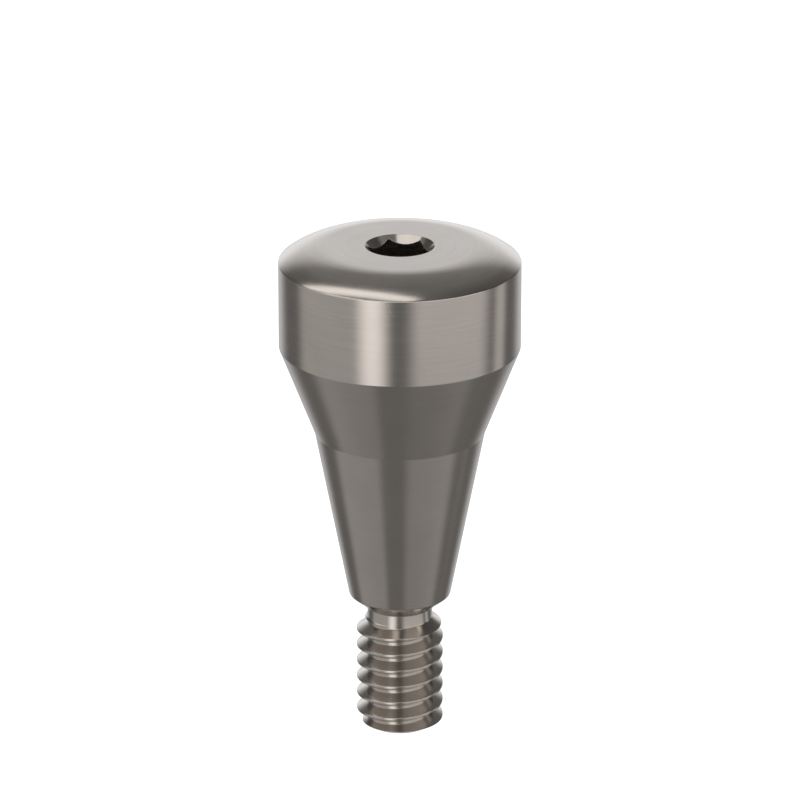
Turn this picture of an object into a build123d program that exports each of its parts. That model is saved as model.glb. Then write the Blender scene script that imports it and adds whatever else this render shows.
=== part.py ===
from build123d import *
import os
from math import radians, tan

# Healing abutment: one turned titanium piece that screws into an implant.
# Millimetres, +Z up. Z = 0 is the implant's platform, where the taper starts.

# Head, a plain band under a rounded top face
head_d = 5.50
band_h = 2.00
top_rise = 0.38
top_flat_d = 3.32
band_edge_r = 0.025

# Flare from the platform up to the head
platform_d = 3.90
flare_h = 2.06

# Taper that seats in the implant, its rounded end and its steep underside
taper_half_angle = 11.0
taper_l = 4.00
taper_end_r = 0.06
underside_half_angle = 51.0

# Right-handed metric thread, with a plain neck above it
thread_d = 2.00
thread_pitch = 0.40
thread_depth = 0.245
thread_crest_w = 0.05
thread_flank_angle = 30.0
thread_l = 2.60
thread_end_angle = 30.0
thread_start_turn = 23.0
neck_d = 1.50
neck_l = 0.35
tip_drop = 0.015

# Hexagonal driver socket, broached over a drilled hole
drive_across_flats = 1.27
drive_depth = 1.80
drive_turn = 51.0
mouth_d = 1.58
mouth_half_angle = 40.0
pilot_d = 1.22
pilot_depth = 2.05
drill_half_angle = 59.0

# How far a cutter runs past the face that it opens
overrun = 0.20

# Levels along the axis
band_low_z = flare_h
band_high_z = band_low_z + band_h
top_z = band_high_z + top_rise
taper_low_z = -taper_l
taper_low_d = platform_d - 2 * taper_l * tan(radians(taper_half_angle))
underside_h = (taper_low_d - neck_d) / 2 / tan(radians(underside_half_angle))
neck_top_z = taper_low_z - underside_h
thread_top_z = neck_top_z - neck_l
tip_z = thread_top_z - thread_l

# Radii of the thread, and the flat that is left at the foot of its groove
thread_r = thread_d / 2
root_r = thread_r - thread_depth
tip_r = root_r - tip_drop
flank_slope = tan(radians(thread_flank_angle))
root_w = thread_pitch - thread_crest_w - 2 * thread_depth * flank_slope


def rounded(profile, r, z, radius):
    """Round the corner of a profile that lies at a radius and a level."""
    corner = profile.vertices().sort_by_distance((r, z, 0))[0]
    return fillet(corner, radius)


def turned_blank():
    """The piece as it leaves the lathe, before its thread and its socket."""
    end_slope = tan(radians(thread_end_angle))
    run_in_z = thread_top_z - (thread_r - neck_d / 2) * end_slope
    run_out_z = tip_z + (thread_r - tip_r) * end_slope
    side = Polyline(
        (0, top_z),
        (0, tip_z),
        (tip_r, tip_z),
        (thread_r, run_out_z),
        (thread_r, run_in_z),
        (neck_d / 2, thread_top_z),
        (neck_d / 2, neck_top_z),
        (taper_low_d / 2, taper_low_z),
        (platform_d / 2, 0),
        (head_d / 2, band_low_z),
        (head_d / 2, band_high_z),
    )
    shoulder = TangentArc((top_flat_d / 2, top_z), side @ 1, tangent=(1, 0))
    flat = Line((0, top_z), shoulder @ 0)
    profile = make_face(side + shoulder + flat)
    profile = rounded(profile, taper_low_d / 2, taper_low_z, taper_end_r)
    profile = rounded(profile, head_d / 2, band_low_z, band_edge_r)
    profile = rounded(profile, head_d / 2, band_high_z, band_edge_r)
    return revolve(Plane.XZ * profile, axis=Axis.Z)


def thread_groove():
    """One V groove that winds up from below the tip and ends beside the neck."""
    reach = thread_crest_w / 4 / flank_slope
    outer_r = thread_r + reach
    outer_w = root_w + 2 * (outer_r - root_r) * flank_slope
    start_z = tip_z - thread_pitch
    clear_low = thread_top_z + root_w / 2
    clear_high = neck_top_z - outer_w / 2
    end_z = (clear_low + clear_high) / 2
    section = make_face(
        Polyline(
            (root_r, -root_w / 2),
            (outer_r, -outer_w / 2),
            (outer_r, outer_w / 2),
            (root_r, root_w / 2),
            close=True,
        )
    )
    path = Helix(thread_pitch, end_z - start_z, root_r)
    groove = sweep(Plane.XZ * section, path=path, is_frenet=True)
    return Pos(0, 0, start_z) * Rot(0, 0, thread_start_turn) * groove


def driver_socket():
    """A hexagonal pocket with a conical mouth and a drilled hole below it."""
    hexagon = RegularPolygon(
        drive_across_flats / 2, 6, major_radius=False, rotation=drive_turn
    )
    pocket_h = drive_depth + overrun
    pocket = Pos(0, 0, top_z - drive_depth) * extrude(hexagon, pocket_h)

    mouth_slope = tan(radians(mouth_half_angle))
    mouth_h = mouth_d / 2 / mouth_slope
    mouth_top_d = mouth_d + 2 * overrun * mouth_slope
    mouth = Pos(0, 0, top_z - mouth_h) * Cone(
        0,
        mouth_top_d / 2,
        mouth_h + overrun,
        align=(Align.CENTER, Align.CENTER, Align.MIN),
    )

    point_h = pilot_d / 2 / tan(radians(drill_half_angle))
    pilot = Pos(0, 0, top_z - pilot_depth) * Cylinder(
        pilot_d / 2,
        pilot_depth,
        align=(Align.CENTER, Align.CENTER, Align.MIN),
    )
    point = Pos(0, 0, top_z - pilot_depth - point_h) * Cone(
        0,
        pilot_d / 2,
        point_h,
        align=(Align.CENTER, Align.CENTER, Align.MIN),
    )
    return pocket + mouth + pilot + point


def healing_abutment():
    """The finished piece: the blank with its thread and its socket cut."""
    return turned_blank() - driver_socket() - thread_groove()


os.makedirs("parts", exist_ok=True)
abutment = healing_abutment()
abutment.label = "healing_abutment"
export_step(abutment, "parts/healing_abutment.step")
print("solids", len(abutment.solids()), "volume", round(abutment.volume, 3))
print("from", round(tip_z, 3), "to", round(top_z, 3))
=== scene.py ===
# %% [markdown]
# # A healing abutment, turned from titanium
#
# The part is a little more than eleven millimetres tall. A lathe turns it from one
# bar: a banded head, a flare, a long taper that seats in the implant, a short neck
# and a fine screw thread. A six-sided pocket in the top takes the driver.
#
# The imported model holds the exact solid. Its facets are a hundredth of a millimetre
# deep, which bare metal would show in its reflections, so the same form is turned
# again here with far more steps, from the same sizes.

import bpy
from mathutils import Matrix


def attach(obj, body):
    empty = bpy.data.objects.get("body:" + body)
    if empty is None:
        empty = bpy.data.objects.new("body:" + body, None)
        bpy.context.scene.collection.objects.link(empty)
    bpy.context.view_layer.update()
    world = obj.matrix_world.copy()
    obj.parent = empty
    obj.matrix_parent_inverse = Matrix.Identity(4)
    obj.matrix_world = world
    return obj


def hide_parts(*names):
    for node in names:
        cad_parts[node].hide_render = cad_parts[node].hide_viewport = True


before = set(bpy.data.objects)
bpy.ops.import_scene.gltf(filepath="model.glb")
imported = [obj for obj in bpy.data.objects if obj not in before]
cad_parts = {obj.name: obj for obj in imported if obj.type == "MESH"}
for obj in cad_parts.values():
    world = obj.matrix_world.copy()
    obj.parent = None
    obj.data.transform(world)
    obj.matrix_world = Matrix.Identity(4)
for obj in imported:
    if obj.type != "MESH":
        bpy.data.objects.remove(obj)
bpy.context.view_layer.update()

# %% [markdown]
# ## Tools and units
#
# bmesh is Blender's workbench for meshes: its operators spin, bevel and merge, as a
# lathe and a file would. Everything is worked out in millimetres, as on a drawing,
# and the finished mesh is scaled to metres at the end. Blender's cutting tools also
# behave better on numbers near one than on thousandths.

# %% Fetch the tools
from math import asin, atan2, cos, degrees, hypot, pi, radians, sin, tan

import bmesh
import bpy
from mathutils import Matrix, Vector

NODE = "healing_abutment"
MM = 0.001
print("one millimetre is", MM, "of Blender's metres")

# %% [markdown]
# ## Sizes
#
# The zero level is the implant's platform, where the taper begins. A drawing gives
# the few sizes that can be set freely, and the rest follow from them: the taper's
# small end from its angle, the tip from the lengths above it. The top and the tip
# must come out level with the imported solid. Only the split between neck and thread
# differs from it: the neck is a little shorter here, the thread that much longer, and
# its first chamfer steeper.

# %% Write down the sizes of the turned outside
head_r, platform_r, neck_r = 2.75, 1.95, 0.75
top_flat_r, top_rise = 1.66, 0.38
band_low_z, band_high_z = 2.06, 4.06
taper_l, taper_angle, underside_angle = 4.00, radians(11), radians(51)
neck_l, thread_l = 0.27, 2.68
thread_r, thread_pitch, thread_depth = 1.00, 0.40, 0.245
thread_crest_w, flank_angle = 0.05, radians(30)
run_in_angle = radians(36)
tip_drop = 0.015

# %% Work out the levels and the radii that follow
top_z = band_high_z + top_rise
taper_low_z = -taper_l
taper_low_r = platform_r - taper_l * tan(taper_angle)
neck_top_z = taper_low_z - (taper_low_r - neck_r) / tan(underside_angle)
thread_top_z = neck_top_z - neck_l
tip_z = thread_top_z - thread_l
root_r = thread_r - thread_depth
tip_r = root_r - tip_drop
run_in_z = thread_top_z - (thread_r - neck_r) * tan(run_in_angle)
run_out_z = tip_z + (thread_r - tip_r) * tan(flank_angle)

print("taper ends at radius", round(taper_low_r, 3), "and level", taper_low_z)
print("neck runs from", round(neck_top_z, 3), "to", round(thread_top_z, 3))

# %% [markdown]
# ## Turning
#
# A lathe part is a profile spun about its axis. The profile is a line of edges in
# the plane of X and Z, and the spin operator carries it round Z. At 288 steps the
# outline is round to a thousandth of a millimetre, so a highlight runs smoothly.

# %% Draw a profile and spin it
TURN_STEPS = 288
WELD = 1e-5


def chain(bm, points):
    """Join points, each a radius and a level, into one line of edges."""
    verts = [bm.verts.new((r, 0, z)) for r, z in points]
    for a, b in zip(verts, verts[1:]):
        bm.edges.new((a, b))
    return verts


def turn(bm, steps=TURN_STEPS):
    """Spin the whole line about Z and close the seam and the poles."""
    bmesh.ops.spin(
        bm, geom=bm.verts[:] + bm.edges[:], cent=(0, 0, 0), axis=(0, 0, 1),
        dvec=(0, 0, 0), angle=2 * pi, steps=steps, use_merge=True,
        use_normal_flip=False, use_duplicate=False,
    )
    bmesh.ops.remove_doubles(bm, verts=bm.verts[:], dist=WELD)
    bmesh.ops.recalc_face_normals(bm, faces=bm.faces[:])


def as_object(bm, name):
    """Turn a working mesh into an object at the origin."""
    mesh = bpy.data.meshes.new(name)
    bm.to_mesh(mesh)
    bm.free()
    obj = bpy.data.objects.new(name, mesh)
    bpy.context.scene.collection.objects.link(obj)
    return obj


print("a full turn takes", TURN_STEPS, "steps")

# %% [markdown]
# ## The side, from the tip up to the band
#
# On the real piece every face here is a straight cut of the tool, so the side is a
# plain line through its corners. The thread is left out for now: its shank is turned
# at full width first, with a chamfer at both ends, as a machinist does.

# %% Draw the side
blank = bmesh.new()
side = chain(blank, [
    (0, tip_z), (tip_r, tip_z), (thread_r, run_out_z), (thread_r, run_in_z),
    (neck_r, thread_top_z), (neck_r, neck_top_z), (taper_low_r, taper_low_z),
    (platform_r, 0), (head_r, band_low_z), (head_r, band_high_z),
])
print("the side has", len(side), "corners")

# %% [markdown]
# ## The rounded shoulder
#
# The shoulder leaves the flat top without a kink and meets the band at an angle. An
# arc that does this is fixed by its two ends, so its radius follows from them. The
# arc could be a list of worked-out points; spinning the band's upper corner about
# the arc's centre makes the same line with one operator.

# %% Spin the shoulder
ARC_STEPS = 24
chord = head_r - top_flat_r
shoulder_r = (chord ** 2 + top_rise ** 2) / (2 * top_rise)
shoulder_turn = asin(chord / shoulder_r)
arc = bmesh.ops.spin(
    blank, geom=[side[-1]], cent=(top_flat_r, 0, top_z - shoulder_r),
    axis=(0, 1, 0), dvec=(0, 0, 0), angle=-shoulder_turn, steps=ARC_STEPS,
    use_merge=False, use_normal_flip=False, use_duplicate=False,
)
arc_end = [v for v in arc["geom_last"] if isinstance(v, bmesh.types.BMVert)][0]
print("shoulder radius", round(shoulder_r, 3), "ends at", tuple(arc_end.co))

# %% [markdown]
# ## The mouth of the socket
#
# A shallow cone in the top lets the driver find its way in. It could be cut out
# afterwards, but it is a turned face like the others, so the profile simply dips
# down to the axis. That leaves one cut less for the Boolean tool.

# %% Draw the mouth and turn the blank
mouth_r, mouth_angle = 0.79, radians(40)
mouth = chain(blank, [(mouth_r, top_z), (0, top_z - mouth_r / tan(mouth_angle))])
blank.edges.new((arc_end, mouth[0]))
turn(blank)
print("the turned blank has", len(blank.faces), "faces")

# %% [markdown]
# ## Softened corners
#
# No turned corner is perfectly sharp, and the small rounding matters: it catches a
# lamp as a thin bright line. The bevel operator rounds a whole ring of edges at
# once. Each corner is named with its radius on the part, its level, how far the
# rounding reaches back along both faces, and its number of segments.

# %% Round the turned corners
CORNERS = {
    "upper edge of the band": (head_r, band_high_z, 0.013, 6),
    "lower edge of the band": (head_r, band_low_z, 0.010, 4),
    "platform": (platform_r, 0, 0.010, 2),
    "small end of the taper": (taper_low_r, taper_low_z, 0.022, 6),
    "foot of the neck": (neck_r, thread_top_z, 0.030, 4),
}
NEAR = 1e-4


def ring_edges(bm, r, z):
    """The edges of the ring at a radius and a level."""
    near = {
        v for v in bm.verts
        if abs(hypot(v.co.x, v.co.y) - r) < NEAR and abs(v.co.z - z) < NEAR
    }
    return [e for e in bm.edges if e.verts[0] in near and e.verts[1] in near]


for corner_name, (r, z, reach_back, segments) in CORNERS.items():
    edges = ring_edges(blank, r, z)
    bmesh.ops.bevel(
        blank, geom=edges, offset=reach_back, offset_type="OFFSET",
        segments=segments, profile=0.5, affect="EDGES", clamp_overlap=False,
        material=-1,
    )
    print("rounded the", corner_name, "with", len(edges), "edges")

body = as_object(blank, "abutment")
print("blank:", len(body.data.polygons), "faces")

# %% [markdown]
# ## Cutting
#
# The socket and the thread are cut into the blank, as in the workshop. Each cutter
# is a closed mesh, and a Boolean modifier with the exact solver takes it away. The
# result is kept as the piece's own mesh, so no live modifier is left.

# %% A helper that makes one cut
def cut(piece, cutter):
    """Take a cutter out of a piece, then throw the cutter away."""
    rule = piece.modifiers.new("cut", "BOOLEAN")
    rule.operation = "DIFFERENCE"
    rule.solver = "EXACT"
    rule.object = cutter
    bpy.context.view_layer.update()
    view = bpy.context.evaluated_depsgraph_get()
    result = bpy.data.meshes.new_from_object(piece.evaluated_get(view))
    piece.modifiers.clear()
    old, piece.data = piece.data, result
    bpy.data.meshes.remove(old)
    print("after", cutter.name, "the piece has", len(result.polygons), "faces")
    bpy.data.objects.remove(cutter)


# %% [markdown]
# ## The driver socket
#
# The driver is a six-sided key. Its pocket is a prism, which create_cone makes when
# both of its radii are equal. Where the six flat walls meet the cone of the mouth,
# they leave the small scallops round the rim. The cutter runs a little past the top,
# so that no two faces lie in one plane.

# %% Cut the hexagon
hex_flat_r, hex_depth, hex_turn = 0.635, 1.80, radians(51)
overrun = 0.20

pocket = bmesh.new()
bmesh.ops.create_cone(
    pocket, cap_ends=True, cap_tris=False, segments=6,
    radius1=hex_flat_r / cos(pi / 6), radius2=hex_flat_r / cos(pi / 6),
    depth=hex_depth + overrun,
    matrix=Matrix.Translation((0, 0, top_z + (overrun - hex_depth) / 2))
    @ Matrix.Rotation(hex_turn - pi / 2, 4, "Z"),
)
corner = max(pocket.verts, key=lambda v: v.co.y)
print("a corner lies at", round(degrees(atan2(corner.co.y, corner.co.x)), 1), "degrees")
cut(body, as_object(pocket, "hexagon"))

# %% [markdown]
# A six-sided pocket is broached over a drilled hole, which gives the chips room. The
# hole is a little narrower than the hexagon and ends in the drill's point.

# %% Cut the drilled hole
pilot_r, pilot_depth, drill_angle = 0.61, 2.05, radians(59)
PILOT_STEPS = 96

pilot = bmesh.new()
chain(pilot, [
    (0, top_z - pilot_depth - pilot_r / tan(drill_angle)),
    (pilot_r, top_z - pilot_depth),
    (pilot_r, top_z - hex_depth + overrun),
    (0, top_z - hex_depth + overrun),
])
turn(pilot, PILOT_STEPS)
cut(body, as_object(pilot, "drilled hole"))

# %% [markdown]
# ## The thread
#
# The thread is one V-shaped groove that winds up the shank, so what stands between
# its turns is the ridge. The section of the groove is a small four-sided face. It is
# flat at the root, and it reaches a little past the shank so that the cut is clean.

# %% Draw the section of the groove
thread_start_turn = radians(23)
root_w = thread_pitch - thread_crest_w - 2 * thread_depth * tan(flank_angle)
reach = thread_crest_w / 4 / tan(flank_angle)
outer_r = thread_r + reach
outer_w = root_w + 2 * (outer_r - root_r) * tan(flank_angle)
groove_low_z = tip_z - thread_pitch
groove_high_z = (thread_top_z + root_w / 2 + neck_top_z - outer_w / 2) / 2

groove = bmesh.new()
corners = chain(groove, [
    (root_r, groove_low_z - root_w / 2), (outer_r, groove_low_z - outer_w / 2),
    (outer_r, groove_low_z + outer_w / 2), (root_r, groove_low_z + root_w / 2),
])
groove.faces.new(corners)
bmesh.ops.rotate(
    groove, verts=groove.verts[:], cent=(0, 0, 0),
    matrix=Matrix.Rotation(thread_start_turn, 3, "Z"),
)
print("the groove is", round(outer_w, 3), "mm wide at the crest")

# %% [markdown]
# Spin can move what it turns along the axis at every step, and that makes a helix:
# each step turns by a fixed part of a circle and climbs the same part of the pitch.
# It climbs as it turns anticlockwise, which is a right-handed thread. The groove
# starts below the tip and ends beside the neck, so it runs out by itself.

# %% Wind the groove and cut it
STEPS_A_TURN = 144
climb = thread_pitch / STEPS_A_TURN
groove_steps = round((groove_high_z - groove_low_z) / climb)

bmesh.ops.spin(
    groove, geom=groove.verts[:] + groove.edges[:] + groove.faces[:],
    cent=(0, 0, 0), axis=(0, 0, 1), dvec=(0, 0, climb),
    angle=groove_steps * 2 * pi / STEPS_A_TURN, steps=groove_steps,
    use_merge=False, use_normal_flip=False, use_duplicate=False,
)
bmesh.ops.recalc_face_normals(groove, faces=groove.faces[:])
print("groove:", groove_steps, "steps,", len(groove.faces), "faces, closed:",
      all(len(e.link_faces) == 2 for e in groove.edges))
cut(body, as_object(groove, "thread groove"))

# %% [markdown]
# ## Finish the mesh
#
# Doubled points are merged, slivers are dissolved, and the mesh is scaled to metres.
# The surface is shaded smooth except where two faces meet at a real corner. The
# object itself stays at the origin, unturned and unscaled.

# %% Merge, scale and shade
MERGE, SLIVER = 2e-5, 1e-6
CORNER_ANGLE = radians(24)

finish = bmesh.new()
finish.from_mesh(body.data)
bmesh.ops.remove_doubles(finish, verts=finish.verts[:], dist=MERGE)
bmesh.ops.dissolve_degenerate(finish, edges=finish.edges[:], dist=SLIVER)
bmesh.ops.recalc_face_normals(finish, faces=finish.faces[:])
open_edges = sum(1 for e in finish.edges if len(e.link_faces) != 2)
volume = finish.calc_volume()
bmesh.ops.scale(finish, vec=(MM, MM, MM), verts=finish.verts[:])
finish.to_mesh(body.data)
finish.free()
body.data.shade_smooth()
body.data.set_sharp_from_angle(angle=CORNER_ANGLE)
triangles = sum(len(p.vertices) - 2 for p in body.data.polygons)
print("open edges:", open_edges, "volume:", round(volume, 2), "triangles:", triangles)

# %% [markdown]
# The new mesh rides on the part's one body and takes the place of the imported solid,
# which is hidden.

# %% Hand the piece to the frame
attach(body, "root")
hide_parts(NODE)
print(body.name, "stands for", NODE)

# %% [markdown]
# ## Working with shader nodes
#
# A material is a tree of nodes. Building one by hand takes a line for each node, each
# value and each link, so four small helpers do it: one adds a node and fills its
# inputs, one is a Math node, one is a smooth step, and one starts a node group.

# %% Helpers that add nodes
def feed(tree, node, key, value):
    """Set one input, given as i0, i1 and so on or by its name with _ for spaces."""
    if key[0] == "i" and key[1:].isdigit():
        socket = node.inputs[int(key[1:])]
    else:
        socket = node.inputs[key.replace("_", " ")]
    if isinstance(value, bpy.types.NodeSocket):
        tree.links.new(value, socket)
    else:
        socket.default_value = value


def put(tree, kind, settings=None, **inputs):
    """Add a node, set its properties, and feed its inputs with values or links."""
    node = tree.nodes.new(kind)
    for key, value in (settings or {}).items():
        setattr(node, key, value)
    for key, value in inputs.items():
        feed(tree, node, key, value)
    return node


def calc(tree, operation, *values):
    """One Math node, returned as its output."""
    node = put(tree, "ShaderNodeMath", {"operation": operation})
    for number, value in enumerate(values):
        feed(tree, node, f"i{number}", value)
    return node.outputs[0]


def between(tree, value, low, high, to_low=0.0, to_high=1.0):
    """A smooth step from one level to another."""
    node = put(tree, "ShaderNodeMapRange", {"interpolation_type": "SMOOTHSTEP"})
    for number, item in enumerate((value, low, high, to_low, to_high)):
        feed(tree, node, f"i{number}", item)
    return node.outputs[0]


# %% A helper that starts a node group
def new_group(name, inputs, outputs):
    """An empty shader group with named sockets. Each is a name, a kind, a value."""
    tree = bpy.data.node_groups.new(name, "ShaderNodeTree")
    for title, kind, value in inputs:
        made = tree.interface.new_socket(title, in_out="INPUT", socket_type=kind)
        if value is not None:
            made.default_value = value
    for title, kind in outputs:
        tree.interface.new_socket(title, in_out="OUTPUT", socket_type=kind)
    return tree, tree.nodes.new("NodeGroupInput"), tree.nodes.new("NodeGroupOutput")


# %% [markdown]
# ## Rings left by the turning tool
#
# The cutting tool leaves fine rings round the axis. A wave texture would make them
# too regular, so they are noise that changes fast along the profile and slowly round
# it. Adding the distance from the axis to the height gives one number that changes
# along every face of the profile, the flat top as well as the straight band.

# %% Build the group of turning rings
rings, given, result = new_group(
    "turning rings",
    [("Position", "NodeSocketVector", None),
     ("Rings per mm", "NodeSocketFloat", 16.0),
     ("Length mm", "NodeSocketFloat", 1.6),
     ("Contrast", "NodeSocketFloat", 1.0)],
    [("Height", "NodeSocketFloat"), ("Tone", "NodeSocketFloat")],
)
place = put(rings, "ShaderNodeSeparateXYZ", i0=given.outputs["Position"])
flat_place = put(rings, "ShaderNodeCombineXYZ", i0=place.outputs[0], i1=place.outputs[1])
from_axis = put(
    rings, "ShaderNodeVectorMath", {"operation": "LENGTH"}, i0=flat_place.outputs[0],
)
along = calc(rings, "ADD", from_axis.outputs["Value"], place.outputs[2])
along_mm = calc(rings, "MULTIPLY", along, 1 / MM)
ring_pos = calc(rings, "MULTIPLY", along_mm, given.outputs["Rings per mm"])
stretch = calc(rings, "DIVIDE", 1 / MM, given.outputs["Length mm"])
lookup = put(
    rings, "ShaderNodeCombineXYZ",
    i0=calc(rings, "MULTIPLY", place.outputs[0], stretch),
    i1=calc(rings, "MULTIPLY", place.outputs[1], stretch),
    i2=ring_pos,
)
fine = put(
    rings, "ShaderNodeTexNoise",
    Vector=lookup.outputs[0], Scale=1.0, Detail=3.0, Roughness=0.6,
)
spread = calc(rings, "SUBTRACT", fine.outputs[0], 0.5)
ring_height = calc(rings, "MULTIPLY", spread, given.outputs["Contrast"])
rings.links.new(ring_height, result.inputs["Height"])
rings.links.new(calc(rings, "ADD", ring_height, 0.5), result.inputs["Tone"])
print("group", rings.name, "has", len(rings.nodes), "nodes")

# %% [markdown]
# ## Slanting scratches
#
# Handling leaves a few hair-fine scratches that cross the rings at a slant. Each
# could be drawn by hand; it is enough to stretch noise into thin streaks, keep only
# its highest peaks, and let a second, slow noise leave them in scattered places.

# %% Build the group of scratches
STREAK_STRETCH = (34.0, 34.0, 0.7)
STREAK_PEAKS = (0.71, 0.77)
PATCHES_PER_MM = 1.1
PATCH_PEAKS = (0.54, 0.64)

scratches, given, result = new_group(
    "slanting scratches",
    [("Position", "NodeSocketVector", None),
     ("Slant", "NodeSocketVector", (0.0, 0.6, 0.5)),
     ("Amount", "NodeSocketFloat", 0.5)],
    [("Mask", "NodeSocketFloat")],
)
in_mm = put(
    scratches, "ShaderNodeVectorMath", {"operation": "SCALE"},
    i0=given.outputs["Position"], Scale=1 / MM,
)
turned = put(
    scratches, "ShaderNodeVectorRotate", {"rotation_type": "EULER_XYZ"},
    Vector=in_mm.outputs[0], Rotation=given.outputs["Slant"],
)
pulled = put(
    scratches, "ShaderNodeVectorMath", {"operation": "MULTIPLY"},
    i0=turned.outputs[0], i1=STREAK_STRETCH,
)
streak = put(
    scratches, "ShaderNodeTexNoise", Vector=pulled.outputs[0], Scale=1.0, Detail=1.0,
)
patch = put(
    scratches, "ShaderNodeTexNoise",
    Vector=in_mm.outputs[0], Scale=PATCHES_PER_MM, Detail=0.0,
)
thin = between(scratches, streak.outputs[0], *STREAK_PEAKS)
where = between(scratches, patch.outputs[0], *PATCH_PEAKS)
mask = calc(scratches, "MULTIPLY", thin, where)
scratches.links.new(
    calc(scratches, "MULTIPLY", mask, given.outputs["Amount"]), result.inputs["Mask"],
)
print("group", scratches.name, "has", len(scratches.nodes), "nodes")

# %% [markdown]
# ## The turned titanium
#
# Titanium is a warm grey metal, darker than steel. The rings stretch its gloss:
# highlights are sharp round the piece and long along it. Modelling each ring would
# take millions of faces, so the shader's own anisotropy does it, with one number for
# the whole piece.

# %% Start the metal
GLOSS_STRETCH, STRETCH_TURN = 0.35, 0.25

titanium = bpy.data.materials.new("turned titanium")
titanium.use_nodes = True
tree = titanium.node_tree
tree.nodes.clear()
output = tree.nodes.new("ShaderNodeOutputMaterial")
metal = tree.nodes.new("ShaderNodeBsdfPrincipled")
tree.links.new(metal.outputs[0], output.inputs["Surface"])
metal.inputs["Metallic"].default_value = 1.0
metal.inputs["Anisotropic"].default_value = GLOSS_STRETCH
metal.inputs["Anisotropic Rotation"].default_value = STRETCH_TURN
print("the metal's gloss is stretched by", GLOSS_STRETCH)

# %% [markdown]
# The rings show clearly on the head and much less below it, so a smooth step along
# the axis sets their contrast. Slow noise makes the grey a little uneven, and the
# rings darken and lighten it.

# %% Colour the metal
GREY_LOW, GREY_HIGH = (0.555, 0.506, 0.460, 1), (0.580, 0.530, 0.482, 1)
RINGS_BELOW, RINGS_ON_BAND = 0.45, 1.0
RING_STEP = (0.0019, 0.0022)
RING_TONE = (0.90, 1.04)
TONE_SPREAD = (0.2, 0.8)
CLOUDS_PER_M, CLOUD_SPREAD = 900.0, (0.3, 0.7)

here = tree.nodes.new("ShaderNodeTexCoord").outputs["Object"]
level_here = put(tree, "ShaderNodeSeparateXYZ", i0=here).outputs[2]
on_band = between(tree, level_here, *RING_STEP, RINGS_BELOW, RINGS_ON_BAND)
marks = put(
    tree, "ShaderNodeGroup", {"node_tree": rings}, Position=here, Contrast=on_band,
)
cloud = put(tree, "ShaderNodeTexNoise", Vector=here, Scale=CLOUDS_PER_M, Detail=3.0)
shade = put(
    tree, "ShaderNodeMix", {"data_type": "RGBA"},
    i0=between(tree, cloud.outputs[0], *CLOUD_SPREAD), i6=GREY_LOW, i7=GREY_HIGH,
)
band_tone = between(tree, marks.outputs["Tone"], *TONE_SPREAD, *RING_TONE)
ringed = put(
    tree, "ShaderNodeMix", {"data_type": "RGBA", "blend_type": "MULTIPLY"},
    i0=0.5, i6=shade.outputs[2], i7=band_tone,
)
tree.links.new(ringed.outputs[2], metal.inputs["Base Color"])
print("the grey lies between", GREY_LOW[:3], "and", GREY_HIGH[:3])

# %% [markdown]
# Rings and scratches also change the gloss and raise and lower the surface a little.
# The sharp corners that the cuts leave are softened in the shading by a Bevel node,
# less than two hundredths of a millimetre wide: on the thread, that catches the
# light as a fine line without a single face more.

# %% Give it gloss and relief
RING_GLOSS = (0.15, 0.20)
SCRATCH_GLOSS = 0.10
CORNER_RADIUS = 0.000016
RELIEF, RELIEF_STRENGTH = 0.00001, 0.08

hair = put(
    tree, "ShaderNodeGroup", {"node_tree": scratches}, Position=here, Amount=1.0,
)
gloss = between(tree, marks.outputs["Tone"], *TONE_SPREAD, *RING_GLOSS)
rougher = calc(tree, "MULTIPLY", hair.outputs["Mask"], SCRATCH_GLOSS)
tree.links.new(calc(tree, "ADD", gloss, rougher), metal.inputs["Roughness"])
relief = calc(tree, "SUBTRACT", marks.outputs["Height"], hair.outputs["Mask"])
corners_soft = put(tree, "ShaderNodeBevel", {"samples": 6}, Radius=CORNER_RADIUS)
bump = put(
    tree, "ShaderNodeBump", Strength=RELIEF_STRENGTH, Distance=RELIEF,
    Height=relief, Normal=corners_soft.outputs[0],
)
tree.links.new(bump.outputs[0], metal.inputs["Normal"])

body.data.materials.clear()
body.data.materials.append(titanium)
print("material", titanium.name, "has", len(tree.nodes), "nodes")

# %% [markdown]
# ## The camera
#
# The picture was taken from twenty-one degrees above, with a long lens: edges that
# run away from the camera hardly close in. Distances are counted in picture points,
# so the lens follows from them: the sensor sees the picture's 800 points from 5000
# points away.

# %% Aim the camera
PIXEL = 0.0228 * MM
PICTURE, AWAY, SENSOR = 800, 5000, 36
AIM_Z = 0.70 * MM
AIM_RIGHT, AIM_UP = 0.15 * PIXEL, 0.5 * PIXEL
rise_angle = radians(20.79)

toward = Vector((0, -cos(rise_angle), sin(rise_angle)))
upward = Vector((0, sin(rise_angle), cos(rise_angle)))
aim = Vector((AIM_RIGHT, 0, AIM_Z)) + upward * AIM_UP
camera = bpy.data.objects.new("camera", bpy.data.cameras.new("camera"))
bpy.context.scene.collection.objects.link(camera)
camera.location = aim + toward * AWAY * PIXEL
camera.rotation_euler = (pi / 2 - rise_angle, 0, 0)
camera.data.sensor_width = SENSOR
camera.data.lens = SENSOR * AWAY / PICTURE
camera.data.clip_start = 0.001
camera.data.clip_end = 10
bpy.context.scene.camera = camera
print("camera stands", round((camera.location - aim).length / MM, 1), "mm away")

# %% [markdown]
# ## The studio
#
# Bare metal shows its surroundings, so the light is built as a room of cards, with
# darkness in between, which gives the dark lines that make metal look like metal.
# The cards could be glowing planes, each hidden from the camera. Here they are
# soft-edged patches of the world, which are easier to place and to soften. Each is
# a window in two angles: its bearing, which is 0 on the camera's side and grows to
# the right, and its height above the horizon, both in degrees.

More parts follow.
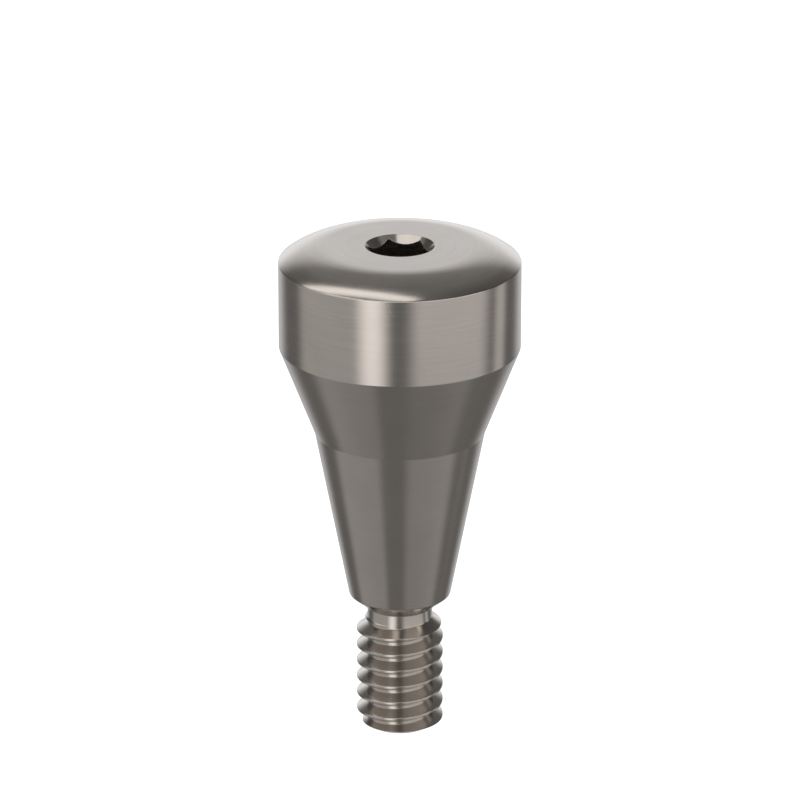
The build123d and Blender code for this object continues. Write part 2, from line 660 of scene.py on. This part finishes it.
# %% A soft card of light
def window(tree, value, low, high, edge):
    """One inside a range, nothing outside it, with soft ends."""
    rising = between(
        tree, value,
        calc(tree, "SUBTRACT", low, edge), calc(tree, "ADD", low, edge),
    )
    falling = between(
        tree, value,
        calc(tree, "SUBTRACT", high, edge), calc(tree, "ADD", high, edge), 1.0, 0.0,
    )
    return calc(tree, "MULTIPLY", rising, falling)


card, given, result = new_group(
    "soft card",
    [("Bearing", "NodeSocketFloat", 0.0), ("Height", "NodeSocketFloat", 0.0),
     ("From", "NodeSocketFloat", 0.0), ("To", "NodeSocketFloat", 0.0),
     ("Edge", "NodeSocketFloat", 5.0), ("Low", "NodeSocketFloat", -30.0),
     ("High", "NodeSocketFloat", 30.0), ("Fade", "NodeSocketFloat", 10.0),
     ("Level", "NodeSocketFloat", 1.0)],
    [("Light", "NodeSocketFloat")],
)
across = window(card, *[given.outputs[k] for k in ("Bearing", "From", "To", "Edge")])
updown = window(card, *[given.outputs[k] for k in ("Height", "Low", "High", "Fade")])
both = calc(card, "MULTIPLY", across, updown)
card.links.new(
    calc(card, "MULTIPLY", both, given.outputs["Level"]), result.inputs["Light"],
)
print("group", card.name, "has", len(card.nodes), "nodes")

# %% [markdown]
# The world's Generated coordinate is the direction in which a ray leaves, as a
# vector one unit long. Its angles come from the arc functions.

# %% Read where a ray goes
world = bpy.data.worlds.new("studio")
bpy.context.scene.world = world
world.use_nodes = True
sky = world.node_tree
sky.nodes.clear()
look = sky.nodes.new("ShaderNodeTexCoord").outputs["Generated"]
axes = put(sky, "ShaderNodeSeparateXYZ", i0=look)
to_right, to_back = axes.outputs[0], axes.outputs[1]
to_front = calc(sky, "MULTIPLY", to_back, -1.0)
bearing = calc(sky, "MULTIPLY", calc(sky, "ARCTAN2", to_right, to_front), 180 / pi)
rise = calc(sky, "MULTIPLY", calc(sky, "ARCSINE", axes.outputs[2]), 180 / pi)
turn_away = calc(sky, "ABSOLUTE", bearing)
print("reading a direction takes", len(sky.nodes), "nodes")

# %% [markdown]
# Between the cards the room isn't black. Its ceiling is a little lighter at the back
# and darker at both sides, and its floor gives an even glow, with a dark slit just
# below eye level in front and a faint gap beside the backdrop. A step is written
# as its start, its end and the level on either side; a window as its two ends and
# the softness of its edges.

# %% Light the ceiling and the floor
SKYLINE = (-12.0, 8.0)
CEILING = (-0.1, 0.75, 0.13, 0.23)
CEILING_SIDES = (0.25, 0.70, 1.0, 0.4)
FLOOR_LEVEL = 0.19
GAP, GAP_DEPTH = (116.0, 134.0, 6.0), 0.10
SLIT, SLIT_FRONT, SLIT_DEPTH = (-10.0, 4.0, 4.0), (-0.3, 0.0, 1.0, 0.0), 0.7


def darkened(value, by, depth):
    """A level, less a part of it where a mask is one."""
    kept = calc(sky, "SUBTRACT", 1.0, calc(sky, "MULTIPLY", by, depth))
    return calc(sky, "MULTIPLY", value, kept)


upper = between(sky, rise, *SKYLINE)
ceiling = between(sky, to_back, *CEILING)
sides = between(sky, calc(sky, "ABSOLUTE", to_right), *CEILING_SIDES)
ceiling = calc(sky, "MULTIPLY", ceiling, sides)
gap = window(sky, turn_away, *GAP)
in_front = between(sky, to_back, *SLIT_FRONT)
slit = calc(sky, "MULTIPLY", window(sky, rise, *SLIT), in_front)
lower = darkened(darkened(FLOOR_LEVEL, gap, GAP_DEPTH), slit, SLIT_DEPTH)
total = calc(
    sky, "ADD",
    calc(sky, "MULTIPLY", ceiling, upper),
    calc(sky, "MULTIPLY", lower, calc(sky, "SUBTRACT", 1.0, upper)),
)
print("the floor glows at", FLOOR_LEVEL, "and the ceiling at up to", CEILING[-1])

# %% [markdown]
# Five cards stand round the piece. The two narrow strips draw the bright vertical
# lines, the wide ones fill the grey areas beside them, and the front card, level
# with the camera, gives the corners their thin highlight.

# %% Hang the cards
CARDS = {
    # bearing from and to, soft edge; height from and to, fade; level
    "left card": (-108, -32, 8, -47, 32, 45, 0.335),
    "left strip": (-36, -14, 10, -31, 30, 7, 1.12),
    "front card": (-96, 84, 8, 6, 32, 6, 0.85),
    "right card": (11, 90, 10, -33, 40, 36, 0.58),
    "right strip": (102, 117, 6, -30, 14, 8, 0.42),
}
for title, (start, stop, edge, low, high, fade, level) in CARDS.items():
    node = put(
        sky, "ShaderNodeGroup", {"node_tree": card, "label": title},
        Bearing=bearing, Height=rise, From=start, To=stop, Edge=edge,
        Low=low, High=high, Fade=fade, Level=level,
    )
    total = calc(sky, "ADD", total, node.outputs[0])
print("the studio has", len(CARDS), "cards")

# %% [markdown]
# Behind the piece hangs a cool white backdrop. Low down it is seen in the sides of
# the piece, where it grows brighter towards the horizon; high up it is seen in the
# flat top and the shoulder.

# %% Hang the backdrop
SKY_FADE = (-8.0, 12.0)
BACK = (132.0, 157.0)
GLOW_FOOT, GLOW_TOP, GLOW_LEVEL = -80.0, 12.0, 0.66
HIGH_BACK = (0.74, 0.95, 0.0, 0.62)
HORIZON, HORIZON_BAND = (0.78, 0.96, 0.0, 0.30), (-8.0, 13.0, 7.0)

glow = put(
    sky, "ShaderNodeMapRange",
    i0=rise, i1=GLOW_FOOT, i2=GLOW_TOP, i3=0.0, i4=GLOW_LEVEL,
)
low_back = calc(sky, "MULTIPLY", between(sky, turn_away, *BACK), glow.outputs[0])
low_back = calc(sky, "MULTIPLY", low_back, between(sky, rise, *SKY_FADE, 1.0, 0.0))
high_back = calc(
    sky, "MULTIPLY", between(sky, to_back, *HIGH_BACK), between(sky, rise, *SKY_FADE),
)
horizon = calc(
    sky, "MULTIPLY", between(sky, to_back, *HORIZON), window(sky, rise, *HORIZON_BAND),
)
backdrop = calc(sky, "ADD", calc(sky, "ADD", low_back, high_back), horizon)
print("the backdrop starts", BACK[0], "degrees from the camera's side")

# %% [markdown]
# Only reflections see the room. The camera and all other rays get plain white, which
# is the white background of the picture.

# %% Put the room together
COOL_WHITE = (0.955, 0.985, 1.03, 1)

rays = sky.nodes.new("ShaderNodeLightPath")
room = put(sky, "ShaderNodeBackground", Color=(1, 1, 1, 1), Strength=total)
cool = put(sky, "ShaderNodeBackground", Color=COOL_WHITE, Strength=backdrop)
whole = put(sky, "ShaderNodeAddShader", i0=room.outputs[0], i1=cool.outputs[0])
plain = put(sky, "ShaderNodeBackground", Color=(1, 1, 1, 1), Strength=1.0)
pick = put(
    sky, "ShaderNodeMixShader",
    i0=rays.outputs["Is Glossy Ray"], i1=plain.outputs[0], i2=whole.outputs[0],
)
put(sky, "ShaderNodeOutputWorld", Surface=pick.outputs[0])
print("the world has", len(sky.nodes), "nodes")

# %% [markdown]
# ## Two soft lamps
#
# The long streak on the shoulder and the light on the thread's upper faces come from
# above. Real lamps hang there, because they also throw the soft shadow on the floor.
# Each is a rectangle that faces the piece. Its middle is a direction from the piece,
# its size is a part of its distance, and its level says how bright it looks.

# %% Hang the lamps
LAMP_DISTANCE = 0.25
LAMPS = {
    # middle, line of the long side, length, width, level
    "overhead strip": ((-0.312, 0.176, 0.933), (-0.852, 0.523, 0), 1.17, 0.20, 1.35),
    "overhead box": ((-0.362, -0.316, 0.877), (-0.80, 0.60, 0), 1.2, 0.42, 1.10),
}
for title, (middle, line, length, width, level) in LAMPS.items():
    middle, line = Vector(middle).normalized(), Vector(line)
    line = (line - middle * line.dot(middle)).normalized()
    lamp = bpy.data.lights.new(title, "AREA")
    lamp.shape = "RECTANGLE"
    lamp.size, lamp.size_y = length * LAMP_DISTANCE, width * LAMP_DISTANCE
    lamp.energy = level * pi * lamp.size * lamp.size_y
    hung = bpy.data.objects.new(title, lamp)
    bpy.context.scene.collection.objects.link(hung)
    facing = Matrix((line, middle.cross(line), middle)).transposed().to_4x4()
    hung.matrix_world = Matrix.Translation(middle * LAMP_DISTANCE) @ facing
    print(title, "gives", round(lamp.energy, 4), "watts")

# %% [markdown]
# ## The floor
#
# The part is held by its thread, so the floor lies well below the tip. It is plain
# and pale, and it keeps a soft shadow. A little emission for the camera alone brings
# it up to the white of the background.

# %% Lay the floor
FLOOR_DROP, FLOOR_HALF = 0.030, 2.0
FLOOR_LIFT = 0.35
floor_z = tip_z * MM - FLOOR_DROP

ground = bmesh.new()
bmesh.ops.create_grid(
    ground, x_segments=1, y_segments=1, size=FLOOR_HALF,
    matrix=Matrix.Translation((0, 0, floor_z)),
)
floor = as_object(ground, "floor")
paint = bpy.data.materials.new("pale floor")
paint.use_nodes = True
coat = paint.node_tree.nodes["Principled BSDF"]
coat.inputs["Base Color"].default_value = (0.8, 0.8, 0.8, 1)
coat.inputs["Roughness"].default_value = 0.9
coat.inputs["Specular IOR Level"].default_value = 0.0
coat.inputs["Emission Color"].default_value = (1, 1, 1, 1)
seen = paint.node_tree.nodes.new("ShaderNodeLightPath").outputs["Is Camera Ray"]
lift = calc(paint.node_tree, "MULTIPLY", seen, FLOOR_LIFT)
paint.node_tree.links.new(lift, coat.inputs["Emission Strength"])
floor.data.materials.append(paint)
floor.visible_glossy = False
print("floor lies at", round(floor_z, 4))

# %% [markdown]
# ## Tones
#
# The plain Standard view shows each colour about as it is written.

# %% Set the view
bpy.context.scene.view_settings.view_transform = "Standard"
